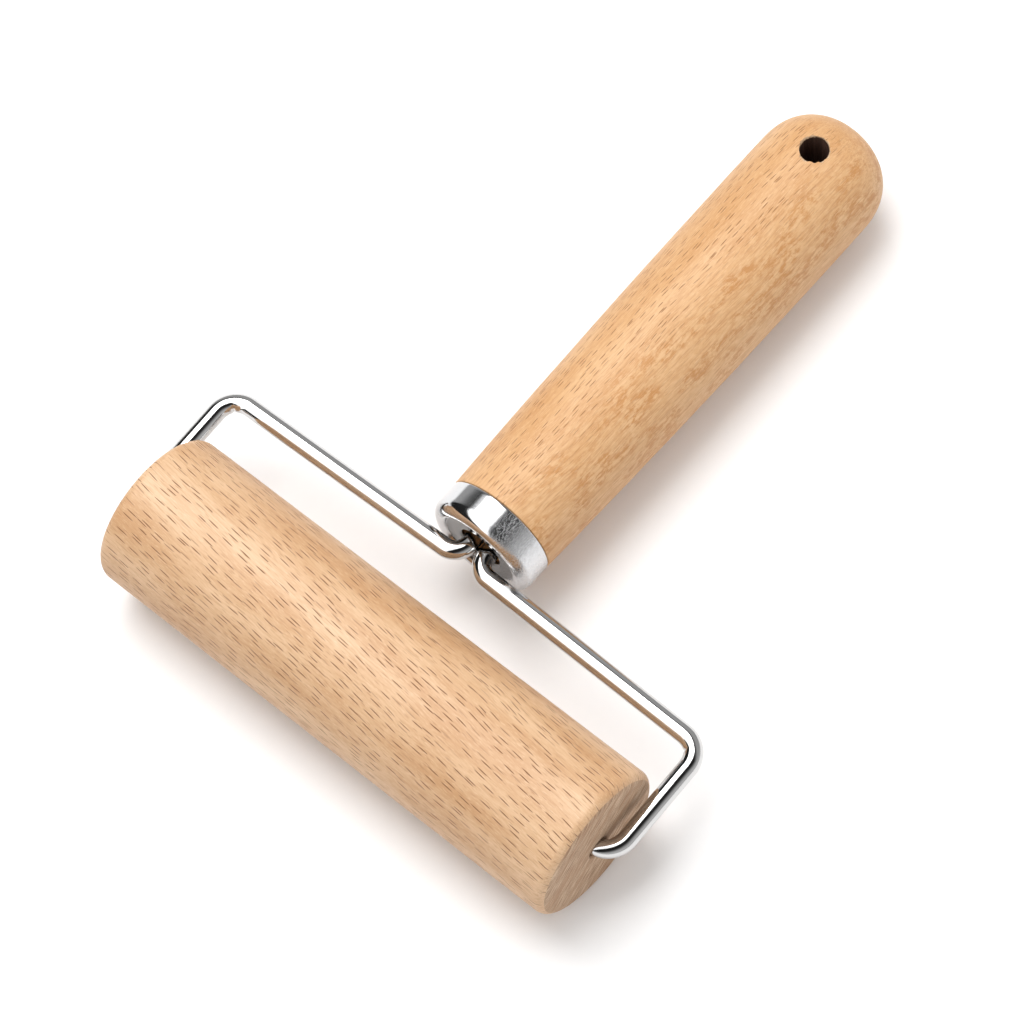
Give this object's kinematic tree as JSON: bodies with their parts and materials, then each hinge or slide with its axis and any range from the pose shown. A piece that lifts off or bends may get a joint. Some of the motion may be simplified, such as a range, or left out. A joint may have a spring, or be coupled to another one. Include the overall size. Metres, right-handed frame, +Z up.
{
  "type": "hand roller",
  "caption": "Hand roller: a wooden drum spins freely on bent wire arms, held by a rounded wooden handle with a chromed ferrule and a hanging hole.",
  "frame": {"origin": "on the plane that the roller rests on, under the middle of its bounding box", "axes": "+X along the drum's axis to the right arm, +Y from the drum to the tip of the handle, +Z up from the plane that it rests on"},
  "size_m": [0.1312, 0.1742, 0.0348],
  "materials": {
    "handle_beech": "oiled beech, satin",
    "drum_beech": "sanded beech, satin",
    "ferrule_chrome": "bright chrome plate with fine rolling marks",
    "wire_chrome": "bright chrome plate"
  },
  "bodies": {
    "handle_frame": {"handle": "handle_beech", "ferrule": "ferrule_chrome", "left_arm": "wire_chrome", "right_arm": "wire_chrome"},
    "drum": {"roller_drum": "drum_beech"}
  },
  "joints": [
    {"name": "drum_spin", "type": "hinge", "parent": "handle_frame", "child": "drum", "pos_m": [0, -0.06974, 0.0174], "axis": [1, 0, 0], "continuous": true}
  ]
}
